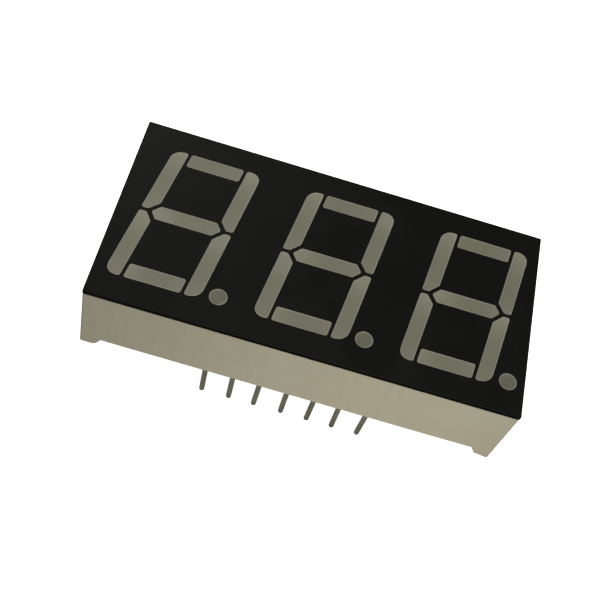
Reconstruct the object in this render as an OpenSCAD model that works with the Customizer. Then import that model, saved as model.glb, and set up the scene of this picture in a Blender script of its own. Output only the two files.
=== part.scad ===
// Three-digit seven-segment display in two colours of light, standing on its legs.
// Millimetres. X runs along the digits, Y towards their tops and Z out of the face.
// The origin is the middle of the leg pattern, on the plane that the feet seat on.

/* [Housing] */
// Length of the housing along the digits, at the face
body_w = 37.6; // [36.8:0.1:80]
// Width of the housing across the digits, at the face
body_d = 19; // [18.6:0.1:40]
// Height from the seating plane to the face
body_h = 8.2; // [6.2:0.1:16]
// How far the outer walls lean out on their way down from the face
wall_draft = 0.1; // [0:0.01:0.3]
// Thickness of the two end walls around the board
end_wall = 1.2; // [0.6:0.05:1.35]
// Thickness of the two long walls around the board
long_wall = 0.8; // [0.5:0.05:0.95]
// Radius of the four upright corners
corner_r = 0.2; // [0.05:0.05:0.5]
// Radius of the edges around the face
rim_r = 0.12; // [0.05:0.01:0.3]
// Height of the feet below the long walls
foot_h = 0.85; // [0.3:0.05:1.2]
// Length of each foot along the long walls, where it stands
foot_l = 1.35; // [1.35:0.05:4]
// Run of the slanted inner side of each foot
foot_slant = 0.45; // [0:0.05:1.5]
// Thickness of plastic left between the face and the cored pockets
face_t = 1.4; // [0.8:0.1:2.4]
// Wall left between a cored pocket and the light wells around it
pocket_wall = 0.7; // [0.5:0.05:1.2]

/* [Face coat] */
// Thickness of the black coat
coat_t = 0.03; // [0.02:0.005:0.06]
// How far the coat reaches down the sides
coat_band = 0.35; // [0.35:0.01:1]

/* [Digits] */
// Number of digits in the row
digits = 3; // [1:1:3]
// Distance from one digit to the next
digit_pitch = 12.7; // [11:0.05:12.9]
// How far the row of digits sits to the right of the middle
digit_shift = 0; // [-0.2:0.05:0.1]
// Height of a digit
digit_h = 14.25; // [11:0.05:16]
// Width of a digit before it is slanted
digit_w = 8.2; // [7.6:0.05:8.3]
// Slant of the digits from upright, in degrees
slant = 8; // [0:0.5:8]
// Width of the upright segments
upright_w = 1.36; // [1.2:0.02:1.7]
// Width of the level segments
level_w = 1.43; // [1.25:0.02:1.75]
// Gap beside the top and bottom segments
gap_side = 0.32; // [0.25:0.01:0.5]
// Gap between the upper and lower upright segments
gap_mid = 0.36; // [0.25:0.01:0.6]
// Gap along the pointed ends of the middle segment
gap_point = 0.4; // [0.3:0.01:0.6]
// Length of the middle segment's pointed ends
point_l = 0.6; // [0.4:0.02:0.8]
// How far each pointed end reaches past the inside of the uprights
point_reach = 0.36; // [0.2:0.02:0.4]
// Radius of the digit's outer corners
outer_r = 0.95; // [0.4:0.05:1]
// Radius of the other segment corners
inner_r = 0.2; // [0.1:0.01:0.22]

/* [Decimal points] */
// Diameter of a decimal point
dot_d = 1.56; // [1.5:0.01:1.8]
// Gap between a point and the lower right segment
dot_gap = 0.59; // [0.4:0.01:0.7]
// How far a point reaches below the digit
dot_drop = 0.1; // [0:0.01:0.3]

/* [Light wells] */
// Depth of the straight mouth of each well
mouth_h = 0.5; // [0.3:0.1:1]
// How far the long sides of a well lean in towards the board
well_side = 0.15; // [0.05:0.01:0.2]
// How far the ends of a well lean in towards the board
well_end = 0.85; // [0.3:0.05:0.9]

/* [Board] */
// Thickness of the circuit board
board_t = 1; // [0.6:0.1:1.6]
// Gap between the board and the walls around it
board_gap = 0.1; // [0.05:0.01:0.2]
// Thickness of the copper
copper_t = 0.035; // [0.018:0.001:0.07]
// Gap between a leg's shank and the edge of its hole, at the shank's corners
hole_gap = 0.09; // [0.06:0.01:0.15]
// Width of the copper rings around the holes
ring_w = 0.3; // [0.2:0.01:0.35]

/* [Legs] */
// Number of legs in each of the two rows
legs_per_row = 7; // [2:1:13]
// Distance from one leg to the next
leg_pitch = 2.54; // [2:0.01:2.6]
// Distance between the two rows
row_gap = 15.24; // [14.8:0.02:15.24]
// Diameter of a leg
leg_d = 0.51; // [0.45:0.01:0.56]
// Length of a leg below the seating plane
leg_l = 6.76; // [2:0.02:12]
// Radius of the rounded leg tips
tip_r = 0.2; // [0.05:0.01:0.2]
// Height of the solder fillets behind the board
solder_h = 0.55; // [0.3:0.05:0.8]
// Width of copper left bare around a solder fillet
solder_edge = 0.1; // [0.02:0.01:0.15]
// Thickness of the solder around the shank's corners, where a fillet ends
solder_neck = 0.06; // [0.03:0.01:0.08]

/* [Light chips] */
// Side of a light chip
chip_w = 0.24; // [0.18:0.01:0.26]
// Thickness of a light chip
chip_t = 0.18; // [0.1:0.01:0.25]
// Width of copper left around a chip
chip_margin = 0.04; // [0.02:0.01:0.05]
// Distance between the two chips of a segment
chip_pitch = 0.66; // [0.4:0.02:1]
// Distance between the two chips of a point
dot_chip_pitch = 0.4; // [0.38:0.01:0.44]
// Distance that a point's bond wire spans
dot_wire_span = 0.46; // [0.44:0.01:0.48]
// Diameter of the bond wires
wire_d = 0.03; // [0.02:0.005:0.04]

/* [Resin] */
// Thickness of the resin behind the board
resin_t = 1.6; // [1:0.1:2]
// How far the resin stays below the edges of the long walls
resin_recess = 0.06; // [0.03:0.01:0.3]

/* [Hidden] */
SEGMENTS = ["a", "b", "c", "d", "e", "f", "g"];
LEGS = 2 * legs_per_row;

// Levels, from the seating plane up.
rim_z = foot_h;
resin_z = rim_z + resin_recess;
board_back_z = resin_z + resin_t;
board_front_z = board_back_z + board_t;
chip_z = board_front_z + copper_t;
plastic_z = body_h - coat_t;

// The digit before it is slanted, measured from its middle.
half_h = digit_h / 2;
half_w = digit_w / 2;
inside_w = half_w - upright_w;
level_y = half_h - level_w / 2;
upright_y = (half_h + gap_mid / 2) / 2;
dot_r = dot_d / 2;
dot_y = dot_r - dot_drop - half_h;
dot_x = half_w + dot_y * tan(slant) + dot_gap + dot_r;
dot_foot_r = dot_r - well_side;

// The hole for a leg, its copper ring and its solder, which follow the corners of the leg's square shank.
shank_r = leg_d / sqrt(2);
hole_r = shank_r + hole_gap;
ring_r = hole_r + ring_w;
solder_r = ring_r - solder_edge;
solder_tip_r = shank_r + solder_neck;

// The tip of the middle segment's upper right side, and the way that side faces.
point_tip = [inside_w + point_reach, 0];
point_shoulder = [inside_w + point_reach - point_l, level_w / 2];
point_normal = [level_w / 2, point_l] / norm([level_w / 2, point_l]);

// Corners of the well's foot are rounder in proportion, because it is smaller.
foot_corner = 0.7;
// How far the cut end of an upright leans in at the middle of the digit.
well_chamfer = 0.3;
// Chords in a rounded corner.
corner_steps = 5;
// Depth that a cut runs past the surface it opens.
past = 1;
// How far the round part of a leg reaches into the resin.
leg_bury = 0.02;
// Radius of the recess's upright corners, and of the board that drops into it.
recess_r = 0.4;
// Copper under a chip, and copper where the wire of a segment or of a point lands.
die_pad = [chip_w + 2 * chip_margin, chip_w + 2 * chip_margin];
wire_pad = [0.24, 0.4];
dot_wire_pad = [0.2, 0.16];
// A wire reaches to the end of the shortest well's foot, less a margin beyond the copper it lands on.
pad_margin = 0.08;
wire_span = inside_w - gap_side - well_end - pad_margin - wire_pad.x / 2 - chip_pitch / 2;
// How far a point's chips sit above its middle.
dot_chip_lift = 0.15;
curve_fn = 48;
wire_fn = 16;

// ---- outlines ----

function unit(v) = v / norm(v);

function reversed(list) = [for (i = [len(list) - 1 : -1 : 0]) list[i]];

function turned(v) = [v.y, -v.x];

// Where the line through p along u crosses the line through q along v.
function crossing(p, u, q, v) = p + u * ((q - p) * turned(v)) / (u * turned(v));

// Each corner is [x, y, radius, lean], where lean belongs to the side that follows the corner.
function spot(corner) = [corner[0], corner[1]];

function leaned(corners, scale_r) =
    let (n = len(corners))
    [for (i = [0 : n - 1])
        let (
            before = spot(corners[(i + n - 1) % n]),
            here = spot(corners[i]),
            after = spot(corners[(i + 1) % n]),
            side_in = unit(here - before),
            side_out = unit(after - here),
            lean_in = corners[(i + n - 1) % n][3],
            moved = crossing(
                here - turned(side_in) * lean_in, side_in,
                here - turned(side_out) * corners[i][3], side_out
            )
        )
        [moved.x, moved.y, corners[i][2] * scale_r, 0]
    ];

// A corner between before and after, rounded with radius r.
function rounded_corner(before, here, after, r) =
    let (
        back = unit(before - here),
        ahead = unit(after - here),
        half = acos(back * ahead) / 2,
        centre = here + unit(back + ahead) * r / sin(half),
        start = here + back * r / tan(half) - centre,
        a0 = atan2(start.y, start.x)
    )
    [for (k = [0 : corner_steps])
        let (a = a0 + (180 - 2 * half) * k / corner_steps)
        centre + r * [cos(a), sin(a)]
    ];

function outline(corners) =
    let (n = len(corners))
    [for (i = [0 : n - 1])
        each rounded_corner(
            spot(corners[(i + n - 1) % n]), spot(corners[i]), spot(corners[(i + 1) % n]), corners[i][2]
        )
    ];

function box_corners(w, d, r) = [
    [w / 2, -d / 2, r, 0], [w / 2, d / 2, r, 0], [-w / 2, d / 2, r, 0], [-w / 2, -d / 2, r, 0]
];

// ---- segments ----

// Top segment, from its lower right corner round.
function level_corners() =
    let (x = inside_w - gap_side, y0 = half_h - level_w)
    [
        [x, y0, inner_r, well_end], [x, half_h, inner_r, well_side],
        [-x, half_h, inner_r, well_end], [-x, y0, inner_r, well_side]
    ];

// Upper right segment, from its lower left corner round. Its cut end follows the middle segment's point.
function upright_corners() =
    let (
        cut = point_tip + point_normal * gap_point,
        along = turned(point_normal),
        low = crossing(cut, along, [0, gap_mid / 2], [1, 0]),
        high = crossing(cut, along, [inside_w, 0], [0, 1])
    )
    [
        [low.x, low.y, inner_r, well_end], [half_w, gap_mid / 2, inner_r, well_side],
        [half_w, half_h, outer_r, well_end], [inside_w, half_h, inner_r, well_side],
        [high.x, high.y, inner_r, well_chamfer]
    ];

function middle_corners() =
    let (tip = point_tip.x, x = point_shoulder.x, y = point_shoulder.y)
    [
        [tip, 0, inner_r, well_end], [x, y, inner_r, well_side], [-x, y, inner_r, well_end],
        [-tip, 0, inner_r, well_end], [-x, -y, inner_r, well_side], [x, -y, inner_r, well_end]
    ];

function corners_of(s) =
    s == "g" ? middle_corners() : s == "a" || s == "d" ? level_corners() : upright_corners();

function mirror_x(s) = s == "e" || s == "f" ? -1 : 1;
function mirror_y(s) = s == "c" || s == "d" || s == "e" ? -1 : 1;

function slanted(p) = [p.x + p.y * tan(slant), p.y];

function digit_x(d) = digit_shift + (d - (digits + 1) / 2) * digit_pitch;

// Points of one segment's outline in its place on digit d.
function placed(points, d, s) =
    let (
        sx = mirror_x(s), sy = mirror_y(s),
        all = [for (p = points) slanted([p.x * sx, p.y * sy]) + [digit_x(d), 0]]
    )
    sx * sy < 0 ? reversed(all) : all;

function mouth_points(d, s) = placed(outline(corners_of(s)), d, s);

function foot_points(d, s) = placed(outline(leaned(corners_of(s), foot_corner)), d, s);

// Middle of a segment on digit d, and the direction that it runs in.
function segment_middle(d, s) =
    let (
        p = s == "g" ? [0, 0]
            : s == "a" || s == "d" ? [0, level_y * mirror_y(s)]
            : [(half_w - upright_w / 2) * mirror_x(s), upright_y * mirror_y(s)]
    )
    slanted(p) + [digit_x(d), 0];

function segment_turn(s) = s == "a" || s == "d" || s == "g" ? 0 : 90 - slant;

function dot_middle(d) = [digit_x(d) + dot_x, dot_y];

// Where each light chip sits: middle and turn of its well, places of the chip and of its wire's far end, and
// the copper under each. side is -1 for red and 1 for green.
function segment_site(d, s, side) = [
    segment_middle(d, s), segment_turn(s),
    [side * chip_pitch / 2, 0], [side * (chip_pitch / 2 + wire_span), 0], die_pad, wire_pad
];

function dot_site(d, side) = [
    dot_middle(d), 0,
    [side * dot_chip_pitch / 2, dot_chip_lift],
    [side * dot_chip_pitch / 2, dot_chip_lift - dot_wire_span], die_pad, dot_wire_pad
];

function sites(d, side) = concat([for (s = SEGMENTS) segment_site(d, s, side)], [dot_site(d, side)]);

// ---- legs ----

// Legs count from the lower left along the near row, then back along the far row.
function leg_at(n) =
    let (near = n <= legs_per_row, k = near ? n - 1 : LEGS - n)
    [(k - (legs_per_row - 1) / 2) * leg_pitch, (near ? -1 : 1) * row_gap / 2];

// ---- shapes ----

// A closed solid through rings of points, one ring for each level, from the lowest up.
module through_rings(rings, levels) {
    n = len(rings[0]);
    top = len(levels) - 1;
    points = [for (k = [0 : top]) for (p = rings[k]) [p.x, p.y, levels[k]]];
    sides = [for (k = [0 : top - 1]) for (i = [0 : n - 1])
        let (j = (i + 1) % n)
        [k * n + i, (k + 1) * n + i, (k + 1) * n + j, k * n + j]];
    caps = [[for (i = [0 : n - 1]) i], [for (i = [n - 1 : -1 : 0]) top * n + i]];
    polyhedron(points = points, faces = concat(caps, sides));
}

// The space of one light well, from the board's front to the face. A cut runs on past both ends.
module segment_well(d, s) {
    mouth = mouth_points(d, s);
    through_rings([foot_points(d, s), mouth, mouth], [board_front_z, body_h - mouth_h, body_h]);
}

module segment_cut(d, s) {
    foot = foot_points(d, s);
    mouth = mouth_points(d, s);
    through_rings(
        [foot, foot, mouth, mouth],
        [board_front_z - past, board_front_z, body_h - mouth_h, body_h + past]
    );
}

module dot_well(d, beyond = 0) {
    translate(concat(dot_middle(d), 0))
        rotate_extrude($fn = curve_fn)
            polygon([
                [0, board_front_z - beyond], [dot_foot_r, board_front_z - beyond],
                [dot_foot_r, board_front_z], [dot_r, body_h - mouth_h],
                [dot_r, body_h + beyond], [0, body_h + beyond]
            ]);
}

module well_cuts() {
    for (d = [1 : digits]) {
        for (s = SEGMENTS) segment_cut(d, s);
        dot_well(d, past);
    }
}

// The openings in the black coat, one over each well.
module windows() {
    translate([0, 0, plastic_z - past])
        for (d = [1 : digits]) {
            for (s = SEGMENTS) linear_extrude(coat_t + 2 * past) polygon(mouth_points(d, s));
            translate(concat(dot_middle(d), 0)) cylinder(r = dot_r, h = coat_t + 2 * past, $fn = curve_fn);
        }
}

// A block as long and wide as the housing, grown by grow on every side, rounded round its face.
module rounded_block(grow, top) {
    w = body_w + 2 * grow;
    d = body_d + 2 * grow;
    foot_w = w + 2 * wall_draft;
    foot_d = d + 2 * wall_draft;
    intersection() {
        through_rings([
            outline(box_corners(foot_w, foot_d, corner_r + grow)),
            outline(box_corners(w, d, corner_r + grow))
        ], [0, top]);
        rotate([90, 0, 0])
            linear_extrude(foot_d + past, center = true) polygon(arch(foot_w, w, top, rim_r + grow));
        rotate([90, 0, 90])
            linear_extrude(foot_w + past, center = true) polygon(arch(foot_d, d, top, rim_r + grow));
    }
}

// A shape standing on the axis, foot wide below and w wide above, with rounded upper corners.
function arch(foot, w, top, r) = concat(
    [[-foot / 2, 0], [foot / 2, 0]],
    rounded_corner([foot / 2, 0], [w / 2, top], [0, top], r),
    rounded_corner([0, top], [-w / 2, top], [-foot / 2, 0], r)
);

// The recess that takes the board and the resin, or what fills it, less a gap all round.
module recess(gap, z0, z1) {
    w = body_w - 2 * end_wall - 2 * gap;
    d = body_d - 2 * long_wall - 2 * gap;
    translate([0, 0, z0])
        linear_extrude(z1 - z0) polygon(outline(box_corners(w, d, recess_r - gap)));
}

// The space between the feet, cut through both long walls.
module foot_gap() {
    low = body_w / 2 - foot_l;
    high = low - foot_slant;
    rotate([90, 0, 0])
        linear_extrude(body_d + 2 * past, center = true)
            polygon([[-low - foot_slant * past / foot_h, -past], [low + foot_slant * past / foot_h, -past],
                [high, foot_h], [-high, foot_h]]);
}

// Pockets in the back of the light block, inside the upper and lower loops of each digit.
module cored_pockets() {
    x = inside_w - pocket_wall;
    y0 = level_w / 2 + pocket_wall;
    y1 = half_h - level_w - pocket_wall;
    for (d = [1 : digits]) for (side = [-1, 1])
        translate([0, 0, board_front_z - past])
            linear_extrude(plastic_z - face_t - board_front_z + past)
                polygon([for (p = [[-x, y0], [x, y0], [x, y1], [-x, y1]])
                    slanted([p.x, p.y * side]) + [digit_x(d), 0]]);
}

// Everything that sits on the board inside the light wells.
module at_site(site, spot_on_board) {
    translate(concat(site[0], 0)) rotate([0, 0, site[1]])
        translate(concat(spot_on_board, 0)) children();
}

module pad(size) {
    translate([-size.x / 2, -size.y / 2, board_front_z]) cube([size.x, size.y, copper_t]);
}

module pads_of(site) {
    at_site(site, site[2]) pad(site[4]);
    at_site(site, site[3]) pad(site[5]);
}

module chip_of(site) {
    at_site(site, site[2])
        translate([-chip_w / 2, -chip_w / 2, chip_z]) cube([chip_w, chip_w, chip_t]);
}

// A half loop of wire from the top of the chip down to its own pad.
module wire_of(site) {
    run = site[3] - site[2];
    reach = norm([norm(run), chip_t]);
    drop = asin(chip_t / reach);
    lift = wire_d / 2 * sin(drop);
    at_site(site, (site[2] + site[3]) / 2)
        translate([0, 0, chip_z + chip_t / 2 + lift])
            rotate([0, 0, atan2(run.y, run.x)]) rotate([90, drop, 0])
                rotate_extrude(angle = 180, $fn = curve_fn)
                    translate([reach / 2, 0]) circle(d = wire_d, $fn = wire_fn);
}

module lit_parts(site) {
    pads_of(site);
    chip_of(site);
    wire_of(site);
}

module leg_shape(n) {
    round_top = resin_z + leg_bury;
    r = leg_d / 2;
    translate(concat(leg_at(n), 0)) {
        rotate_extrude($fn = curve_fn)
            polygon(concat(
                [[0, round_top], [0, -leg_l]],
                rounded_corner([0, -leg_l], [r, -leg_l], [r, 0], tip_r),
                [[r, round_top]]
            ));
        translate([-r, -r, round_top]) cube([leg_d, leg_d, board_front_z - round_top]);
    }
}

// Solder that fills the hole around a leg and climbs down it behind the board.
module solder_shape(n) {
    foot_z = board_back_z - copper_t;
    neck = (solder_r + 2 * solder_tip_r) / 3;
    translate(concat(leg_at(n), 0))
        rotate_extrude($fn = curve_fn)
            polygon([
                [0, board_front_z], [0, foot_z - solder_h], [solder_tip_r, foot_z - solder_h],
                [neck, foot_z - solder_h / 2], [solder_r, foot_z], [hole_r, foot_z],
                [hole_r, board_front_z]
            ]);
}

module ring_shape(n) {
    translate(concat(leg_at(n), board_back_z - copper_t))
        difference() {
            cylinder(r = ring_r, h = copper_t, $fn = curve_fn);
            translate([0, 0, -past]) cylinder(r = hole_r, h = copper_t + 2 * past, $fn = curve_fn);
        }
}

// ---- the pieces ----

module housing() {
    color([0.86, 0.84, 0.77])
        difference() {
            rounded_block(0, plastic_z);
            recess(0, -past, board_front_z);
            foot_gap();
            well_cuts();
            cored_pockets();
        }
}

module face_coat() {
    color([0.09, 0.09, 0.085])
        difference() {
            rounded_block(coat_t, body_h);
            rounded_block(0, plastic_z);
            translate([-body_w, -body_d, -past]) cube([2 * body_w, 2 * body_d, body_h - coat_band + past]);
            windows();
        }
}

module segment(d, s) {
    color([0.62, 0.61, 0.54])
        difference() {
            segment_well(d, s);
            for (side = [-1, 1]) lit_parts(segment_site(d, s, side));
        }
}

module decimal_point(d) {
    color([0.62, 0.61, 0.54])
        difference() {
            dot_well(d);
            for (side = [-1, 1]) lit_parts(dot_site(d, side));
        }
}

module circuit_board() {
    color([0.33, 0.45, 0.27])
        difference() {
            recess(board_gap, board_back_z, board_front_z);
            for (n = [1 : LEGS])
                translate(concat(leg_at(n), board_back_z - past))
                    cylinder(r = hole_r, h = board_t + 2 * past, $fn = curve_fn);
        }
}

module front_copper() {
    color([0.78, 0.55, 0.35])
        for (d = [1 : digits]) for (side = [-1, 1]) for (site = sites(d, side)) pads_of(site);
}

module back_copper() {
    color([0.78, 0.55, 0.35])
        for (n = [1 : LEGS]) ring_shape(n);
}

module chips(d, side) {
    color(side < 0 ? [0.7, 0.25, 0.2] : [0.45, 0.65, 0.3])
        for (site = sites(d, side)) chip_of(site);
}

module bond_wires(d) {
    color([0.9, 0.75, 0.35])
        for (side = [-1, 1]) for (site = sites(d, side)) wire_of(site);
}

module leg(n) {
    color([0.62, 0.62, 0.58]) leg_shape(n);
}

module solder_joints() {
    color([0.72, 0.73, 0.74])
        for (n = [1 : LEGS])
            difference() {
                solder_shape(n);
                leg_shape(n);
            }
}

module back_resin() {
    color([0.8, 0.76, 0.62])
        difference() {
            recess(0, resin_z, board_front_z);
            recess(board_gap, board_back_z, board_front_z + past);
            for (n = [1 : LEGS]) {
                leg_shape(n);
                solder_shape(n);
                translate(concat(leg_at(n), board_back_z - copper_t))
                    cylinder(r = ring_r, h = copper_t + past, $fn = curve_fn);
            }
        }
}

housing();
face_coat();
for (d = [1 : digits]) {
    for (s = SEGMENTS)
        segment(d, s);
    decimal_point(d);
}
circuit_board();
front_copper();
back_copper();
for (d = [1 : digits]) {
    chips(d, -1);
    chips(d, 1);
    bond_wires(d);
}
for (n = [1 : LEGS])
    leg(n);
solder_joints();
back_resin();
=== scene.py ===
# %% [markdown]
# A three-digit seven-segment display, seen from its face. The solid frame brings every hard piece in its
# true size: housing, coat, resin fillings, board, chips, wires, legs and solder. This script gives each of
# them its finish, and adds what a moulder and a potting line leave behind: softened edges, the sunken skin
# of the cast resin, the resin that creeps up walls and legs, copper tracks, and a few trapped bubbles.

import math

import bmesh
import bpy
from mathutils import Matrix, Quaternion, Vector


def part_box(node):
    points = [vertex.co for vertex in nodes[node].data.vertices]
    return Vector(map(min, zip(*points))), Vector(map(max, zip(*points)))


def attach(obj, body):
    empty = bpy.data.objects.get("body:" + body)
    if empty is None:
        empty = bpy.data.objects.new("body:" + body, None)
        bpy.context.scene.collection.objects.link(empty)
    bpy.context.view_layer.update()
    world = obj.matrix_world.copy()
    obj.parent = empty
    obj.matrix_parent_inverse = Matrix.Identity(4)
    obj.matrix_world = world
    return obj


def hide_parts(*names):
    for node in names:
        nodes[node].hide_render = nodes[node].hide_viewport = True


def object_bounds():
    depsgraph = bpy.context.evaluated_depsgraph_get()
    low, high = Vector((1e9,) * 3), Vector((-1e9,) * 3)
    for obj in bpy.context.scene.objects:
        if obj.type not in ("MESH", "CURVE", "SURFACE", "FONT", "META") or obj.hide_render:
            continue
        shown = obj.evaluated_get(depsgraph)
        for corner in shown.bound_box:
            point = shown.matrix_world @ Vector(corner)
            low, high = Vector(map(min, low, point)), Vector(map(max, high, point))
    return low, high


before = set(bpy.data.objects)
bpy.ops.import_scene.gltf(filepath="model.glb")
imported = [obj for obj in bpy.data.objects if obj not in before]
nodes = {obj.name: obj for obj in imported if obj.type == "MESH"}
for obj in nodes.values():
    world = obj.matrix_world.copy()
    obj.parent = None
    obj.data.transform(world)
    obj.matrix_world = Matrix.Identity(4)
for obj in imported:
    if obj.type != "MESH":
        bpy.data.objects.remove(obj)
frame_box = [list(corner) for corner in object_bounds()]

MM = 0.001
print(len(nodes), "solid pieces, box in mm:", [[round(x / MM, 2) for x in corner] for corner in frame_box])

# %% [markdown]
# A shader is a small net of nodes. A few helpers keep the wiring short: put() places a node, sets it up and
# fills or wires its inputs, calc() does one sum, ramp() makes a smooth step and blend() mixes two colours.
# put() returns the node, and the others return the socket that holds their result.

# %% Helpers for node trees


def put(tree, kind, wires=None, **settings):
    """A new node, with its settings made and its inputs wired or filled."""
    made = tree.nodes.new(kind)
    for name, value in settings.items():
        setattr(made, name, value)
    for name, value in (wires or {}).items():
        if isinstance(value, bpy.types.NodeSocket):
            tree.links.new(value, made.inputs[name])
        else:
            made.inputs[name].default_value = value
    return made


def calc(tree, operation, a, b=0.0, clamp=False):
    """One sum on numbers or sockets."""
    return put(tree, "ShaderNodeMath", {0: a, 1: b}, operation=operation, use_clamp=clamp).outputs[0]


def ramp(tree, value, low, high, out_low=0.0, out_high=1.0):
    """A smooth step: value from low to high becomes out_low to out_high."""
    return put(
        tree, "ShaderNodeMapRange",
        {"Value": value, "From Min": low, "From Max": high, "To Min": out_low, "To Max": out_high},
        interpolation_type="SMOOTHSTEP",
    ).outputs["Result"]


def blend(tree, share, first, second):
    """A colour between two colours."""
    mix = put(tree, "ShaderNodeMix", data_type="RGBA")
    for socket, value in ((mix.inputs[0], share), (mix.inputs[6], first), (mix.inputs[7], second)):
        if isinstance(value, bpy.types.NodeSocket):
            tree.links.new(value, socket)
        else:
            socket.default_value = value
    return mix.outputs[2]


def rgb(r, g, b):
    return (r, g, b, 1.0)


# %% [markdown]
# Moulded plastic, sprayed coat, cast resin and tinned wire all share a few effects: a fine grain, a slow
# drift of tone, streaks drawn one way, and stray specks. Each is a node group built once, with its sizes in
# millimetres, so a material only has to say how coarse and how strong it wants the effect.

# %% A start for every effect group


def effect(name, inputs, outputs):
    """An empty node group with named sockets, and the sockets that its inputs come from."""
    tree = bpy.data.node_groups.new(name, "ShaderNodeTree")
    for label, kind, value in inputs:
        socket = tree.interface.new_socket(label, in_out="INPUT", socket_type="NodeSocket" + kind)
        if value is not None:
            socket.default_value = value
    for label, kind in outputs:
        tree.interface.new_socket(label, in_out="OUTPUT", socket_type="NodeSocket" + kind)
    return tree, tree.nodes.new("NodeGroupInput").outputs


def close(tree, **results):
    put(tree, "NodeGroupOutput", results)


def scaled(tree, vector, size):
    """Object coordinates in metres, divided so that one unit is size millimetres."""
    per_unit = calc(tree, "DIVIDE", 1 / MM, size)
    return put(tree, "ShaderNodeVectorMath", {0: vector, "Scale": per_unit}, operation="SCALE").outputs[0]


# %% [markdown]
# A spark-eroded tool leaves a fine grain on plastic, and ink dries with a coarser one. Both are one noise at
# a size given in millimetres. Drift is a much larger and softer noise, because nothing moulded or cast has
# quite one tone. A picture could do both, but noise on the object's own coordinates needs no unwrapping.

# %% Grain and drift
grain, given = effect(
    "fine_grain", [("Vector", "Vector", None), ("Size", "Float", 0.1), ("Roughened", "Float", 0.6)],
    [("Height", "Float")],
)
grain_noise = put(
    grain, "ShaderNodeTexNoise",
    {"Vector": scaled(grain, given["Vector"], given["Size"]), "Scale": 1.0, "Detail": 3.0,
     "Roughness": given["Roughened"]},
)
close(grain, Height=grain_noise.outputs[0])

drift, given = effect(
    "tone_drift", [("Vector", "Vector", None), ("Size", "Float", 6.0), ("Amount", "Float", 1.0)],
    [("Share", "Float")],
)
drift_noise = put(
    drift, "ShaderNodeTexNoise",
    {"Vector": scaled(drift, given["Vector"], given["Size"]), "Scale": 1.0, "Detail": 2.0},
).outputs[0]
close(drift, Share=calc(drift, "MULTIPLY", ramp(drift, drift_noise, 0.3, 0.7), given["Amount"]))
print("grain:", len(grain.nodes), "nodes, drift:", len(drift.nodes), "nodes")

# %% [markdown]
# Plastic that flows into a tool and wire that is pulled through a die are both streaked one way. That is the
# same noise again, with its coordinates divided by a length of its own along each axis. Specks come from a
# cell pattern with one point to a cell. One random draw says whether a cell has its speck, and another how
# large that speck is, so they stay sparse and unalike.

# %% Streaks and specks
streaks, given = effect(
    "drawn_streaks",
    [("Vector", "Vector", None), ("Spacing", "Vector", (1.0, 1.0, 1.0)), ("Amount", "Float", 1.0)],
    [("Share", "Float")],
)
per_metre = put(streaks, "ShaderNodeVectorMath", {0: (1 / MM,) * 3, 1: given["Spacing"]}, operation="DIVIDE")
stretched = put(
    streaks, "ShaderNodeVectorMath", {0: given["Vector"], 1: per_metre.outputs[0]}, operation="MULTIPLY"
)
streak_noise = put(
    streaks, "ShaderNodeTexNoise", {"Vector": stretched.outputs[0], "Scale": 1.0, "Detail": 3.0}
).outputs[0]
close(streaks, Share=calc(streaks, "MULTIPLY", ramp(streaks, streak_noise, 0.35, 0.75), given["Amount"]))

specks, given = effect(
    "stray_specks",
    [("Vector", "Vector", None), ("Spacing", "Float", 3.0), ("Size", "Float", 0.06), ("Share", "Float", 0.2)],
    [("Mask", "Float")],
)
spaced = scaled(specks, given["Vector"], given["Spacing"])
cells = put(specks, "ShaderNodeTexVoronoi", {"Vector": spaced, "Scale": 1.0})
cell_draw = put(specks, "ShaderNodeSeparateColor", {0: cells.outputs["Color"]}).outputs
reach = calc(specks, "DIVIDE", calc(specks, "MULTIPLY", given["Size"], cell_draw[1]), given["Spacing"])
inside = calc(specks, "SUBTRACT", 1.0, calc(specks, "DIVIDE", cells.outputs["Distance"], reach), clamp=True)
kept = calc(specks, "LESS_THAN", cell_draw[0], given["Share"])
close(specks, Mask=calc(specks, "MULTIPLY", calc(specks, "MULTIPLY", inside, 3.0, clamp=True), kept))
print("effect groups:", [tree.name for tree in bpy.data.node_groups])

# %% [markdown]
# Every material starts the same way: a Principled shader, the object's own coordinates and an output. The
# parts of the object stand at the origin unturned, so those coordinates are places on the real display.

# %% A start for every material


def finish(name, metallic=0.0, ior=1.5, specular=0.5, alpha=1.0):
    """A material with its tree, its shader and its coordinates."""
    made = bpy.data.materials.new(name)
    made.use_nodes = True
    tree = made.node_tree
    tree.nodes.clear()
    shader = put(
        tree, "ShaderNodeBsdfPrincipled",
        {"Metallic": metallic, "IOR": ior, "Specular IOR Level": specular, "Alpha": alpha},
    )
    put(tree, "ShaderNodeOutputMaterial", {"Surface": shader.outputs[0]})
    place = put(tree, "ShaderNodeTexCoord").outputs["Object"]
    return made, tree, shader, place


def use(tree, group, vector, **values):
    """One effect group placed in a material with its own values."""
    made = put(tree, "ShaderNodeGroup", node_tree=group)
    tree.links.new(vector, made.inputs["Vector"])
    for name, value in values.items():
        made.inputs[name].default_value = value
    return made.outputs[0]


def plug(tree, shader, **sockets):
    for name, socket in sockets.items():
        tree.links.new(socket, shader.inputs[name.replace("_", " ")])


def bump(tree, height, strength, depth):
    """A normal from a height, where depth is in millimetres."""
    return put(
        tree, "ShaderNodeBump", {"Height": height, "Strength": strength, "Distance": depth * MM}
    ).outputs[0]


# %% [markdown]
# The housing is a glass-filled plastic, whitened so that light can't leak between the wells, and it comes
# out of the tool matt and a little grey. What breaks up its flat tone is slight: flow streaks that run with
# the height of the wall, a slow drift of shade, a fine spark-eroded grain and a rare dark fleck.

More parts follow.
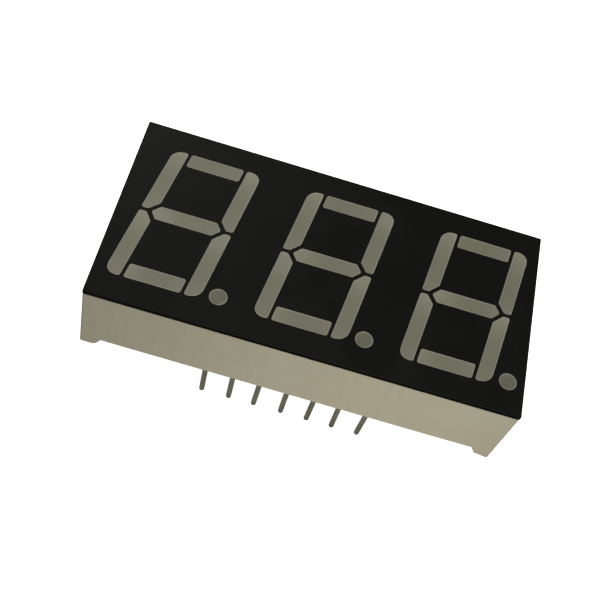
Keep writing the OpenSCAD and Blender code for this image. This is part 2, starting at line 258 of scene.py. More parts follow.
# %% Housing plastic
housing_plastic, tree, shader, place = finish("housing_plastic", specular=0.4)
flow = use(tree, streaks, place, Spacing=(0.5, 0.5, 9.0), Amount=0.4)
shade = use(tree, drift, place, Size=7.0, Amount=0.6)
fleck = use(tree, specks, place, Spacing=1.2, Size=0.12, Share=0.3)
pores = use(tree, grain, place, Size=0.09)
OFF_WHITE, SHADED_WHITE = rgb(0.455, 0.427, 0.325), rgb(0.425, 0.395, 0.295)
FLOW_LINE, DARK_FLECK = rgb(0.40, 0.37, 0.275), rgb(0.12, 0.10, 0.07)
tone = blend(tree, shade, OFF_WHITE, SHADED_WHITE)
tone = blend(tree, flow, tone, FLOW_LINE)
tone = blend(tree, calc(tree, "MULTIPLY", fleck, 0.75), tone, DARK_FLECK)
plug(
    tree, shader, Base_Color=tone, Roughness=ramp(tree, pores, 0.3, 0.7, 0.5, 0.66),
    Normal=bump(tree, pores, 0.35, 0.02),
)
print("housing plastic:", len(tree.nodes), "nodes")

# %% [markdown]
# The face is printed with black ink that laps over the edge. It dries to a low sheen with a slight
# orange-peel, and catches a little pale dust. Where it laps down the sides it is a little more matt, and its
# colour there is painted darker as painted shade on the sides, so its tone and roughness change just below
# the face, which is a matter of height alone.

# %% Black coat
black_coat, tree, shader, place = finish("black_coat", specular=0.05)
peel = use(tree, grain, place, Size=0.5)
shade = use(tree, drift, place, Size=5.0, Amount=1.0)
dust = use(tree, specks, place, Spacing=1.6, Size=0.05, Share=0.12)
INK, FADED_INK = rgb(0.0042, 0.0042, 0.0036), rgb(0.0054, 0.0054, 0.0047)
# The darker ink for the sides is painted shade.
SHADED_INK_ON_SIDES, DUST = rgb(0.0012, 0.0012, 0.0008), rgb(0.05, 0.05, 0.04)
tone = blend(tree, shade, INK, FADED_INK)
tone = blend(tree, calc(tree, "MULTIPLY", dust, 0.3), tone, DUST)
level = put(tree, "ShaderNodeSeparateXYZ", {0: place}).outputs[2]
face_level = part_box("face_coat")[1].z
LAP_STARTS, LAP_IS_FULL, MORE_MATT = 0.02 * MM, 0.14 * MM, 0.1
lap = ramp(tree, level, face_level - LAP_STARTS, face_level - LAP_IS_FULL)
sheen = ramp(tree, shade, 0.0, 1.0, 0.40, 0.46)
plug(
    # Below the face's edge the colour goes to that painted shade and the roughness rises.
    tree, shader, Base_Color=blend(tree, lap, tone, SHADED_INK_ON_SIDES),
    Roughness=calc(tree, "ADD", sheen, calc(tree, "MULTIPLY", lap, MORE_MATT)),
    Normal=bump(tree, peel, 0.12, 0.02),
)
print("black coat:", len(tree.nodes), "nodes")

# %% [markdown]
# A filling is clear resin clouded with a white diffuser. Its ends are painted lighter, the far end most, as
# painted light thrown back up by the leaning ends of the well, while the middle keeps the darker tone of
# resin that looks down on the green board. The fillings carry a flat map whose U runs along the segment, and
# a value named rim that is 1 at the edge, where resin wets the plastic and the colour is lightened by a
# painted highlight.

# %% Milky resin
# The two lighter end tones are painted light thrown up by the well's leaning end walls, the far one's most.
MIDDLE, LIT_FAR_END, LIT_NEAR_END = rgb(0.134, 0.132, 0.0945), rgb(0.194, 0.192, 0.140), rgb(0.149, 0.144, 0.108)
# The palest tone is a painted highlight along the filling's rim.
RIM_HIGHLIGHT = rgb(0.26, 0.258, 0.21)


def milky(name, middle, lit_far_end, lit_near_end, rim_highlight_share):
    made, tree, shader, place = finish(name, ior=1.52, specular=0.35)
    along = put(tree, "ShaderNodeSeparateXYZ", {0: put(tree, "ShaderNodeUVMap", uv_map="along").outputs[0]})
    cloud = use(tree, drift, place, Size=1.3, Amount=0.35)
    rim = put(tree, "ShaderNodeAttribute", attribute_name="rim").outputs["Fac"]
    # The ends are painted lighter: painted light from the well's end walls.
    tone = blend(tree, ramp(tree, along.outputs[0], 0.5, 1.02), middle, lit_far_end)
    tone = blend(tree, ramp(tree, along.outputs[0], 0.28, 0.0), tone, lit_near_end)
    tone = blend(tree, cloud, tone, middle)
    # Towards the rim the colour goes to the painted highlight.
    tone = blend(tree, calc(tree, "MULTIPLY", rim, rim_highlight_share), tone, RIM_HIGHLIGHT)
    fine = use(tree, grain, place, Size=0.16)
    plug(
        tree, shader, Base_Color=tone, Roughness=ramp(tree, fine, 0.3, 0.7, 0.42, 0.55),
        Normal=bump(tree, fine, 0.15, 0.01),
    )
    print(name.replace("_", " ") + ":", len(tree.nodes), "nodes")
    return made


segment_resin = milky("segment_resin", MIDDLE, LIT_FAR_END, LIT_NEAR_END, rim_highlight_share=0.6)
# The point's two lighter end tones are painted light as well, and its rim gets the painted highlight.
point_resin = milky(
    "point_resin", middle=rgb(0.090, 0.0915, 0.0625), lit_far_end=rgb(0.110, 0.110, 0.076),
    lit_near_end=rgb(0.106, 0.106, 0.072), rim_highlight_share=0.7,
)

# %% [markdown]
# Inside and behind: a green lacquered laminate, bright copper where chips sit, gold wires, red and green
# chips, and solder and legs with the dull grey of tin. None of it is mirror bright.

# %% Board, copper and chips


def plain_solid(name, first, second, rough, size, metallic=0.0, alpha=1.0):
    """A finish with one grain, a drift between two tones and a spread of roughness."""
    made, tree, shader, place = finish(name, metallic=metallic, alpha=alpha)
    pattern = use(tree, grain, place, Size=size)
    tone = blend(tree, use(tree, drift, place, Size=8 * size, Amount=1.0), first, second)
    plug(
        tree, shader, Base_Color=tone, Roughness=ramp(tree, pattern, 0.3, 0.7, *rough),
        Normal=bump(tree, pattern, 0.25, 0.01),
    )
    print(name.replace("_", " ") + ":", len(tree.nodes), "nodes")
    return made


board_laminate = plain_solid(
    "board_laminate", rgb(0.035, 0.10, 0.035), rgb(0.05, 0.13, 0.045), (0.3, 0.45), 0.4,
)
track_lacquer = plain_solid("track_lacquer", rgb(0.06, 0.17, 0.055), rgb(0.075, 0.2, 0.065), (0.25, 0.4), 0.3)
copper = plain_solid("copper", rgb(0.62, 0.31, 0.14), rgb(0.5, 0.22, 0.09), (0.3, 0.5), 0.1, metallic=1.0)
red_chip = plain_solid("red_chip", rgb(0.42, 0.08, 0.05), rgb(0.3, 0.05, 0.04), (0.25, 0.4), 0.05)
green_chip = plain_solid("green_chip", rgb(0.30, 0.42, 0.10), rgb(0.22, 0.34, 0.08), (0.25, 0.4), 0.05)
bond_wire = plain_solid(
    "bond_wire", rgb(0.83, 0.58, 0.20), rgb(0.72, 0.48, 0.16), (0.2, 0.3), 0.05, metallic=1.0,
)
solder = plain_solid("solder", rgb(0.55, 0.55, 0.54), rgb(0.42, 0.42, 0.41), (0.28, 0.5), 0.12, metallic=1.0)

# %% [markdown]
# The legs are drawn steel wire, tinned in a bath and a little tarnished. Their streaks run along the wire,
# and the tin has a soft, uneven grey.

# %% Tinned legs
tinned_leg, tree, shader, place = finish("tinned_leg", metallic=0.85)
drawn = use(tree, streaks, place, Spacing=(0.06, 0.06, 2.5), Amount=0.7)
tarnish = use(tree, drift, place, Size=0.9, Amount=0.8)
TIN, TARNISHED, STREAKED = rgb(0.49, 0.49, 0.395), rgb(0.37, 0.365, 0.275), rgb(0.27, 0.268, 0.21)
tone = blend(tree, tarnish, TIN, TARNISHED)
tone = blend(tree, drawn, tone, STREAKED)
plug(
    tree, shader, Base_Color=tone, Roughness=ramp(tree, drawn, 0.0, 0.7, 0.48, 0.62),
    Normal=bump(tree, drawn, 0.3, 0.01),
)
print("tinned leg:", len(tree.nodes), "nodes")

# %% [markdown]
# The back is poured full of clear resin that cures to a faint straw haze, so the board, its tracks and the
# solder show through it dimly. A partly open alpha does this more cheaply than real glass, and it is what a
# thin hazy layer looks like: some light comes back from the haze and the rest from the board below.

# %% Back resin
back_resin, tree, shader, place = finish("back_resin", ior=1.52, specular=0.5)
ripple = use(tree, grain, place, Size=2.2)
haze = use(tree, drift, place, Size=3.5, Amount=1.0)
tone = blend(tree, haze, rgb(0.44, 0.41, 0.26), rgb(0.36, 0.34, 0.22))
plug(
    tree, shader, Base_Color=tone, Roughness=ramp(tree, haze, 0.0, 1.0, 0.14, 0.24),
    Alpha=ramp(tree, haze, 0.0, 1.0, 0.3, 0.42), Normal=bump(tree, ripple, 0.2, 0.12),
)

bubble = plain_solid("bubble", rgb(0.62, 0.6, 0.46), rgb(0.5, 0.48, 0.36), (0.1, 0.2), 0.1, alpha=0.5)
print("materials:", sorted(made.name for made in bpy.data.materials))

# %% [markdown]
# The solid pieces that stay as they are only change their finish. Their names say which finish they get.

# %% Give the solid pieces their finish
FINISH_OF = {
    "housing": housing_plastic, "face_coat": black_coat, "circuit_board": board_laminate,
    "front_copper": copper, "back_copper": copper, "red_chips": red_chip, "green_chips": green_chip,
    "bond_wires": bond_wire, "leg": tinned_leg, "solder_joints": solder, "back_resin": back_resin,
}
for name, solid in nodes.items():
    found = [made for start, made in FINISH_OF.items() if name.startswith(start)]
    if "segment" in name or "point" in name:
        found = [point_resin if "point" in name else segment_resin]
    solid.data.materials.clear()
    solid.data.materials.append(found[0])
print("finished:", len(nodes))

# %% [markdown]
# A solid's mesh is loose triangles, so a piece that needs another surface starts from a copy whose corners
# are merged and whose coplanar triangles are made one face again. Edges sharper than 30 degrees stay sharp
# and the rest are shaded smooth.

# %% Copies of the solids
SMOOTH_BELOW = math.radians(30)
MERGE_WITHIN = 0.0005 * MM
SAME_PLANE = math.radians(0.5)


def merged_copy(node):
    """The node's mesh as one closed surface with whole faces."""
    surface = bmesh.new()
    surface.from_mesh(nodes[node].data)
    bmesh.ops.remove_doubles(surface, verts=surface.verts, dist=MERGE_WITHIN)
    bmesh.ops.dissolve_limit(
        surface, angle_limit=SAME_PLANE, verts=surface.verts, edges=surface.edges
    )
    return surface


def shade_smooth(surface):
    """Smooth shading, with a hard line along every sharp edge."""
    for face in surface.faces:
        face.smooth = True
    for edge in surface.edges:
        edge.smooth = len(edge.link_faces) == 2 and edge.calc_face_angle(math.pi) < SMOOTH_BELOW


def settle(surface, name, finish_used, node):
    """Turns a surface into a piece that rides on the display and stands for the node's solid."""
    shade_smooth(surface)
    mesh = bpy.data.meshes.new(name)
    surface.to_mesh(mesh)
    surface.free()
    mesh.materials.append(finish_used)
    piece = bpy.data.objects.new(name, mesh)
    bpy.context.scene.collection.objects.link(piece)
    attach(piece, "root")
    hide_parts(node)
    return piece


# %% [markdown]
# A moulded edge is never a knife edge: the tool is polished and the corner shrinks. The feet and the lower
# rims, which catch the light, get a small round with a bevel on just those edges. The tool's halves didn't
# quite close at the two front feet: a low lip of flash runs under the left one, and the right one stands a
# little skew with a fin at its tip. So one cut marks off the front strip of both soles, and a second one
# marks where the left one's lip ends. The strips' points are then moved down, or up for the inner end of the
# right one, by what a short table says for their distance from the housing's end. The walls themselves are
# shaded flat, or the rounds along their edges would bend the light on the whole wall.

# %% Housing with softened lower edges
EDGE_ROUND = 0.045 * MM
ROUNDED_FROM = math.radians(20)
low_corner, high_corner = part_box("housing")
rim_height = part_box("back_resin")[0].z

moulding = merged_copy("housing")
rim_edges = [
    edge for edge in moulding.edges
    if len(edge.link_faces) == 2
    and max(v.co.z for v in edge.verts) < rim_height
    and edge.calc_face_angle_signed(0.0) > ROUNDED_FROM
]
bmesh.ops.bevel(
    moulding, geom=rim_edges, offset=EDGE_ROUND, offset_type="OFFSET", segments=3, profile=0.5,
    affect="EDGES", clamp_overlap=True,
)
FLASH_DEPTH, LEFT_LIP = 0.9 * MM, 1.0 * MM
SOLE_ENDS = 1.4
LEFT_SOLE = [(0.0, 0.13), (LEFT_LIP / MM, 0.13), (SOLE_ENDS, 0.0)]
RIGHT_SOLE = [(0.0, 0.31), (SOLE_ENDS, -0.07)]
NEAR_SEAT = 2 * EDGE_ROUND


def drawn_down(spot, readings):
    """How far a point of the sole goes down, from (distance from the end, drop) pairs in millimetres."""
    from_end = (high_corner.x - abs(spot.x)) / MM
    for (start, first), (stop, last) in zip(readings, readings[1:]):
        if from_end <= stop:
            return (first + (last - first) * (from_end - start) / (stop - start)) * MM
    return 0.0


strip_end = ((0, low_corner.y + FLASH_DEPTH, 0), (0, 1, 0))
lip_end = ((low_corner.x + LEFT_LIP, 0, 0), (1, 0, 0))
for plane, across in (strip_end, lip_end):
    sole = [f for f in moulding.faces if max(v.co.z for v in f.verts) < NEAR_SEAT]
    bmesh.ops.bisect_plane(
        moulding, plane_co=plane, plane_no=across,
        geom=sole + list({e for f in sole for e in f.edges}) + list({v for f in sole for v in f.verts}),
    )
for vert in moulding.verts:
    if vert.co.z < NEAR_SEAT:
        inward = 1 - (vert.co.y - low_corner.y) / FLASH_DEPTH
        vert.co.z -= drawn_down(vert.co, LEFT_SOLE if vert.co.x < 0 else RIGHT_SOLE) * max(inward, 0.0)
housing_piece = settle(moulding, "housing_moulding", housing_plastic, "housing")
FLAT_FROM = (0.8 * MM) ** 2
for face in housing_piece.data.polygons:
    face.use_smooth = face.area < FLAT_FROM
print("softened", len(rim_edges), "edges of the housing;", len(housing_piece.data.polygons), "faces")

# %% [markdown]
# Cast resin shrinks as it cures. It stays pinned to the rim of the well and sinks a little inside it, so each
# filling has a thin bright line of meniscus around a flat, slightly lower middle, and the resin's painted rim
# highlight brightens that line further. Three insets of the top face make that curve. The flat map and the
# rim value that the resin reads for its painted highlight are written at the same time.

# %% Sunken fillings
MENISCUS = [(0.025, 0.006, 1.0), (0.035, 0.008, 0.45), (0.05, 0.004, 0.0)]
SLANT = math.radians(8)


def filling(node, finish_used):
    """The solid with its top sunk in three insets, each a width, a depth and the rim value it ends with."""
    surface = merged_copy(node)
    top = max(v.co.z for v in surface.verts)
    lids = [f for f in surface.faces if f.normal.z > 0.99 and f.calc_center_median().z > top - 0.001 * MM]
    lid = lids[0] if len(lids) == 1 else bmesh.ops.dissolve_faces(surface, faces=lids)["region"][0]
    rim = surface.verts.layers.float.new("rim")
    for vert in lid.verts:
        vert[rim] = 1.0
    for width, depth, rim_value in MENISCUS:
        bmesh.ops.inset_region(
            surface, faces=[lid], thickness=width * MM, depth=-depth * MM, use_even_offset=True
        )
        for vert in lid.verts:
            vert[rim] = rim_value
    lie_along(surface, lid, node)
    return settle(surface, node.replace("digit", "filling"), finish_used, node)


def lie_along(surface, lid, node):
    """Writes the flat map: U along the segment and V across it, up to 1 at the far end, where the painted
    light is strongest, or less on a and d.
    """
    upright = node[-1] in "bcef"
    along = Vector((math.sin(SLANT), math.cos(SLANT))) if upright else Vector((-1.0, 0.0))
    if node.endswith("point"):
        along = Vector((-0.7, 0.7))
    across = Vector((-along.y, along.x))
    # How much of the far end's painted light the level segments a and d show.
    shown = {"a": 0.62, "d": 0.85}.get(node[-1], 1.0)
    spread = [[v.co.xy.dot(way) for v in lid.verts] for way in (along, across)]
    flat = surface.loops.layers.uv.new("along")
    for face in surface.faces:
        for corner in face.loops:
            corner[flat].uv = [
                size * (corner.vert.co.xy.dot(way) - min(reached)) / (max(reached) - min(reached))
                for way, reached, size in zip((along, across), spread, (shown, 1.0))
            ]


fillings = []
for name in sorted(nodes):
    if "segment" in name or "point" in name:
        fillings.append(filling(name, point_resin if "point" in name else segment_resin))
print(len(fillings), "fillings, sunk by", sum(depth for _, depth, _ in MENISCUS), "mm")

# %% [markdown]
# Tinned wire is soft, and a display that has been handled never has its legs quite straight. Each leg leaves
# the resin in its true place, steps a little to the side within the next two millimetres and leans all the
# way down. Those two millimetres of the copy are cut into short lengths by planes across it, and every point
# below the resin is pushed sideways, so the tips keep their height. The far row leans by the same amounts in
# the opposite order, but has no step.

# %% Legs, a little bent
SIDEWAYS = [
    (-0.09, 0.025), (-0.04, 0.03), (0.03, 0.01), (0.05, 0.025), (0.135, 0.015), (-0.07, 0.035), (0.08, 0.01),
]
STEP_LENGTH, CUT_LENGTH = 2.0 * MM, 0.25 * MM


def bent_leg(node, step, lean):
    """The leg with a step to the side, in millimetres, and a lean below it, in millimetres for each one."""
    surface = merged_copy(node)
    for cut in range(1, int(STEP_LENGTH / CUT_LENGTH) + 1):
        bmesh.ops.bisect_plane(
            surface, plane_co=(0, 0, rim_height - cut * CUT_LENGTH), plane_no=(0, 0, 1),
            geom=surface.verts[:] + surface.edges[:] + surface.faces[:],
        )
    for vert in surface.verts:
        depth = max(rim_height - vert.co.z, 0.0)
        share = min(depth / STEP_LENGTH, 1.0)
        vert.co.x += step * MM * share * share * (3 - 2 * share) + lean * depth
    return settle(surface, node.replace("leg", "bent_leg"), tinned_leg, node)


leg_names = sorted((n for n in nodes if n.startswith("leg_")), key=lambda n: int(n[4:]))
far_row = [(0.0, lean) for _, lean in reversed(SIDEWAYS)]
legs = [bent_leg(name, *bend) for name, bend in zip(leg_names, SIDEWAYS + far_row)]
print(len(legs), "legs, bent aside by", SIDEWAYS)

# %% [markdown]
# What is left repeats by rule, so Geometry Nodes make it: a tree says the rule once, its named inputs hold
# the sizes, and its seed fixes every random draw. The result is turned into a plain mesh before it is
# fixed to the display, because instances don't leave Blender with the rest.

# %% A start for every tree


def rule(name, inputs):
    """An empty geometry tree with named inputs, each a label and a kind."""
    tree = bpy.data.node_groups.new(name, "GeometryNodeTree")
    for label, kind in inputs:
        tree.interface.new_socket(label, in_out="INPUT", socket_type="NodeSocket" + kind)
    tree.interface.new_socket("Geometry", in_out="OUTPUT", socket_type="NodeSocketGeometry")
    return tree, tree.nodes.new("NodeGroupInput").outputs


def end_rule(tree, geometry, finish_used):
    """Realises what the tree made, gives it its finish and puts it out."""
    whole = put(tree, "GeometryNodeRealizeInstances", {0: geometry}).outputs[0]
    dressed = put(tree, "GeometryNodeSetMaterial", {"Geometry": whole, "Material": finish_used}).outputs[0]
    put(tree, "NodeGroupOutput", {"Geometry": dressed})


def grown(name, tree, slot_name, **sizes):
    """The tree's result with these sizes, as a plain mesh that rides on the display."""
    piece = bpy.data.objects.new(name, bpy.data.meshes.new(name))
    bpy.context.scene.collection.objects.link(piece)
    growing = piece.modifiers.new(name, "NODES")
    growing.node_group = tree
    for item in tree.interface.items_tree:
        if item.in_out == "INPUT":
            growing[item.identifier] = sizes[item.name.replace(" ", "_")]
    mesh = bpy.data.meshes.new_from_object(piece.evaluated_get(bpy.context.evaluated_depsgraph_get()))
    piece.modifiers.remove(growing)
    piece.data = mesh
    surface = bmesh.new()
    surface.from_mesh(mesh)
    bmesh.ops.remove_doubles(surface, verts=surface.verts, dist=2 * MERGE_WITHIN)
    bmesh.ops.recalc_face_normals(surface, faces=surface.faces)
    shade_smooth(surface)
    open_edges = sum(not edge.is_manifold for edge in surface.edges)
    surface.to_mesh(mesh)
    surface.free()
    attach(piece, "root")
    low, high = [[f(v.co[i] for v in mesh.vertices) / MM for i in range(3)] for f in (min, max)]
    print(name, len(mesh.polygons), "faces, open edges", open_edges, "from", [round(x, 2) for x in low],
          "to", [round(x, 2) for x in high])
    return piece


def combine(tree, x=0.0, y=0.0, z=0.0):
    return put(tree, "ShaderNodeCombineXYZ", {0: x, 1: y, 2: z}).outputs[0]


def chance(tree, low, high, seed, draw=0):
    """A random number for each point, where draw tells one use of the seed from the next."""
    wires = {2: low, 3: high, "Seed": calc(tree, "ADD", seed, draw)}
    return put(tree, "FunctionNodeRandomValue", wires, data_type="FLOAT").outputs[1]


# %% [markdown]
# Resin wets what it touches. Round each leg it climbs in a small concave cone, a bit higher on some than
# on others. The cone's section is drawn on a grid whose rows go down the slope and back underneath, and
# whose columns go round the leg; bending the grid into a ring and merging its seam closes it.

# %% Resin climbing the legs
resin_low, resin_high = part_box("back_resin")
leg_middles = [(low + high) / 2 for low, high in map(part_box, leg_names)]
per_row = len(leg_names) // 2
leg_pitch = (leg_middles[per_row - 1].x - leg_middles[0].x) / (per_row - 1)
row_gap = leg_middles[-1].y - leg_middles[0].y
leg_radius = (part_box("leg_1")[1].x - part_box("leg_1")[0].x) / 2

LEG_ROWS = [("Legs in a row", "Int"), ("Leg pitch", "Float"), ("Row gap", "Float")]


def leg_points(tree, given, level):
    """A point where each leg comes out of the resin."""
    grid = put(
        tree, "GeometryNodeMeshGrid",
        {"Vertices X": given["Legs in a row"], "Vertices Y": 2, "Size Y": given["Row gap"],
         "Size X": calc(tree, "MULTIPLY", given["Leg pitch"],
                        calc(tree, "SUBTRACT", given["Legs in a row"], 1.0))},
    )
    return put(
        tree, "GeometryNodeSetPosition", {"Geometry": grid.outputs[0], "Offset": combine(tree, z=level)}
    ).outputs[0]


climb, given = rule(
    "resin_climb",
    LEG_ROWS + [("Level", "Float"), ("Leg radius", "Float"), ("Reach", "Float"), ("Height", "Float"),
                ("Buried", "Float"), ("Seed", "Int"), ("Finish", "Material")],
)
AROUND, DOWN, SLOPE_SHARE, HOLLOW = 33, 11, 0.8, 2.4
strip = put(
    climb, "GeometryNodeMeshGrid", {"Size X": 1.0, "Size Y": 1.0, "Vertices X": AROUND, "Vertices Y": DOWN}
).outputs[0]
spot = put(climb, "ShaderNodeSeparateXYZ", {0: put(climb, "GeometryNodeInputPosition").outputs[0]}).outputs
angle = calc(climb, "MULTIPLY", spot[0], math.tau)
row = calc(climb, "ADD", spot[1], 0.5)
inward = calc(climb, "DIVIDE", row, SLOPE_SHARE, clamp=True)
back = calc(climb, "DIVIDE", calc(climb, "SUBTRACT", row, SLOPE_SHARE), 1 - SLOPE_SHARE, clamp=True)
below = calc(climb, "GREATER_THAN", row, SLOPE_SHARE + 0.01)
across = calc(climb, "SUBTRACT", inward, calc(climb, "MULTIPLY", below, back))
ring_r = calc(
    climb, "ADD", given["Leg radius"],
    calc(climb, "MULTIPLY", given["Reach"], calc(climb, "SUBTRACT", 1.0, across)),
)
slope = calc(climb, "MULTIPLY", calc(climb, "POWER", inward, HOLLOW), given["Height"])
under = calc(climb, "MULTIPLY", given["Buried"], calc(climb, "SUBTRACT", 1.0, back))
height = calc(climb, "SUBTRACT", calc(climb, "MULTIPLY", below, under),
              calc(climb, "MULTIPLY", calc(climb, "SUBTRACT", 1.0, below), slope))
bent = put(
    climb, "GeometryNodeSetPosition",
    {"Geometry": strip,
     "Position": combine(climb, calc(climb, "MULTIPLY", ring_r, calc(climb, "COSINE", angle)),
                         calc(climb, "MULTIPLY", ring_r, calc(climb, "SINE", angle)), height)},
).outputs[0]
cone = put(climb, "GeometryNodeMergeByDistance", {"Geometry": bent, "Distance": MERGE_WITHIN}).outputs[0]
rings = put(
    climb, "GeometryNodeInstanceOnPoints",
    {"Points": leg_points(climb, given, given["Level"]), "Instance": cone,
     "Scale": combine(climb, 1.0, 1.0, chance(climb, 0.55, 1.15, given["Seed"]))},
).outputs[0]
end_rule(climb, rings, given["Finish"])
SUNK_IN = 0.004 * MM
grown(
    "resin_climb", climb, "back_resin", Legs_in_a_row=per_row, Leg_pitch=leg_pitch, Row_gap=row_gap,
    Level=resin_low.z, Leg_radius=leg_radius - SUNK_IN, Reach=0.42 * MM, Height=0.2 * MM,
    Buried=SUNK_IN, Seed=4, Finish=back_resin,
)

# %% [markdown]
# Along the walls of the recess the same wetting leaves a fillet. Here a small section, a triangle whose
# slope is hollowed by one more point, is swept along a rounded rectangle, the recess's own outline.

# %% Resin wetting the walls
wetting, given = rule(
    "resin_wall_fillet",
    [("Length", "Float"), ("Width", "Float"), ("Corner", "Float"), ("Level", "Float"),
     ("Reach", "Float"), ("Height", "Float"), ("Finish", "Material")],
)
frame_line = put(
    wetting, "GeometryNodeCurvePrimitiveQuadrilateral", {"Width": given["Length"], "Height": given["Width"]}
).outputs[0]
frame_line = put(
    wetting, "GeometryNodeFilletCurve", {"Curve": frame_line, "Radius": given["Corner"], "Count": 8},
    mode="POLY",
).outputs[0]
frame_line = put(
    wetting, "GeometryNodeSetPosition", {"Geometry": frame_line, "Offset": combine(wetting, z=given["Level"])}
).outputs[0]
section = put(
    wetting, "GeometryNodeCurvePrimitiveQuadrilateral", mode="POINTS",
    wires={"Point 1": (0.0, 0.0, 0.0),
           "Point 2": combine(wetting, 0.0, calc(wetting, "MULTIPLY", given["Height"], -1.0)),
           "Point 3": combine(wetting, calc(wetting, "MULTIPLY", given["Reach"], 0.35),
                              calc(wetting, "MULTIPLY", given["Height"], -0.3)),
           "Point 4": combine(wetting, given["Reach"])},
).outputs[0]
swept = put(
    wetting, "GeometryNodeCurveToMesh", {"Curve": frame_line, "Profile Curve": section}
).outputs[0]
end_rule(wetting, swept, given["Finish"])
grown(
    "resin_wall_fillet", wetting, "back_resin", Length=resin_high.x - resin_low.x,
    Width=resin_high.y - resin_low.y, Corner=0.4 * MM, Level=resin_low.z, Reach=0.3 * MM, Height=0.045 * MM,
    Finish=back_resin,
)

# %% [markdown]
# The board has tracks on its back: long ones that join the same segment of all the digits, and a short one
# from each leg to the via where it changes sides. They are straight lines with a flat section swept along
# them, and a round via stands at each end.

# %% Tracks and vias
tracks, given = rule(
    "board_tracks",
    LEG_ROWS + [("Level", "Float"), ("Long tracks", "Int"), ("Track pitch", "Float"), ("Longest", "Float"),
                ("Shortest stub", "Float"), ("Longest stub", "Float"), ("Track width", "Float"),
                ("Copper", "Float"), ("Via radius", "Float"), ("Seed", "Int"), ("Finish", "Material")],
)
half_stack = calc(tracks, "MULTIPLY", calc(tracks, "SUBTRACT", given["Long tracks"], 1.0), -0.5)
lanes = put(
    tracks, "GeometryNodeMeshLine",
    {"Count": given["Long tracks"], "Offset": combine(tracks, y=given["Track pitch"]),
     "Start Location": combine(tracks, y=calc(tracks, "MULTIPLY", half_stack, given["Track pitch"]),
                               z=given["Level"])},
).outputs[0]
lane = put(
    tracks, "GeometryNodeCurvePrimitiveLine", {"Start": (-0.5, 0.0, 0.0), "End": (0.5, 0.0, 0.0)}
).outputs[0]
long_ones = put(
    tracks, "GeometryNodeInstanceOnPoints",
    {"Points": lanes, "Instance": lane,
     "Scale": combine(tracks, calc(tracks, "MULTIPLY", given["Longest"],
                                   chance(tracks, 0.72, 1.0, given["Seed"])), 1.0, 1.0)},
).outputs[0]
stub = put(
    tracks, "GeometryNodeCurvePrimitiveLine", {"Start": (0.0, 0.0, 0.0), "End": (0.0, -1.0, 0.0)}
).outputs[0]
side = calc(
    tracks, "SIGN",
    put(tracks, "ShaderNodeSeparateXYZ", {0: put(tracks, "GeometryNodeInputPosition").outputs[0]}).outputs[1],
)
spare = calc(tracks, "SUBTRACT", given["Longest stub"], given["Shortest stub"])
stub_length = calc(
    tracks, "ADD", given["Shortest stub"],
    calc(tracks, "MULTIPLY", spare, chance(tracks, 0.0, 1.0, given["Seed"], draw=1)),
)
short_ones = put(
    tracks, "GeometryNodeInstanceOnPoints",
    {"Points": leg_points(tracks, given, given["Level"]), "Instance": stub,
     "Scale": combine(tracks, 1.0, calc(tracks, "MULTIPLY", side, stub_length), 1.0)},
).outputs[0]
lines = put(tracks, "GeometryNodeJoinGeometry")
tracks.links.new(long_ones, lines.inputs[0])
tracks.links.new(short_ones, lines.inputs[0])
lines = put(tracks, "GeometryNodeRealizeInstances", {0: lines.outputs[0]}).outputs[0]
flat = put(
    tracks, "GeometryNodeCurvePrimitiveQuadrilateral",
    {"Width": given["Track width"], "Height": given["Copper"]},
).outputs[0]
upright_lines = put(tracks, "GeometryNodeSetCurveNormal", {"Curve": lines}, mode="Z_UP").outputs[0]
bars = put(
    tracks, "GeometryNodeCurveToMesh", {"Curve": upright_lines, "Profile Curve": flat, "Fill Caps": True}
).outputs[0]
ends = put(
    tracks, "GeometryNodeInstanceOnPoints",
    {"Points": lines, "Selection": put(tracks, "GeometryNodeCurveEndpointSelection").outputs[0],
     "Instance": put(
         tracks, "GeometryNodeMeshCylinder",
         {"Vertices": 20, "Radius": given["Via radius"],
          "Depth": calc(tracks, "MULTIPLY", given["Copper"], 1.15)},
     ).outputs[0]},
).outputs[0]
both = put(tracks, "GeometryNodeJoinGeometry")
tracks.links.new(bars, both.inputs[0])
tracks.links.new(ends, both.inputs[0])
end_rule(tracks, both.outputs[0], given["Finish"])
board_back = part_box("circuit_board")[0].z
COPPER = 0.035 * MM
grown(
    "board_tracks", tracks, "board_laminate", Legs_in_a_row=per_row, Leg_pitch=leg_pitch, Row_gap=row_gap,
    Level=board_back - COPPER / 2, Long_tracks=8, Track_pitch=1.05 * MM, Longest=32 * MM,
    Shortest_stub=1.3 * MM, Longest_stub=2.6 * MM, Track_width=0.3 * MM, Copper=COPPER,
    Via_radius=0.34 * MM, Seed=11, Finish=track_lacquer,
)

# %% [markdown]
# Resin poured by the gram traps a few bubbles. They are small balls of a lighter haze, strewn at random
# between the rows of legs.

# %% Bubbles
fizz, given = rule(
    "resin_bubbles",
    [("Bubbles", "Int"), ("Low corner", "Vector"), ("High corner", "Vector"), ("Radius", "Float"),
     ("Seed", "Int"), ("Finish", "Material")],
)
strewn = put(
    fizz, "FunctionNodeRandomValue",
    {0: given["Low corner"], 1: given["High corner"], "Seed": given["Seed"]}, data_type="FLOAT_VECTOR",
)
seeds = put(
    fizz, "GeometryNodeSetPosition",
    {"Geometry": put(fizz, "GeometryNodeMeshLine", {"Count": given["Bubbles"]}).outputs[0],
     "Position": strewn.outputs[0]},
).outputs[0]
ball = put(fizz, "GeometryNodeMeshIcoSphere", {"Radius": given["Radius"], "Subdivisions": 2}).outputs[0]
balls = put(
    fizz, "GeometryNodeInstanceOnPoints",
    {"Points": seeds, "Scale": chance(fizz, 0.25, 1.0, given["Seed"], draw=1), "Instance": ball},
).outputs[0]
end_rule(fizz, balls, given["Finish"])
margin = Vector((1.5, 2.6, 0.15)) * MM
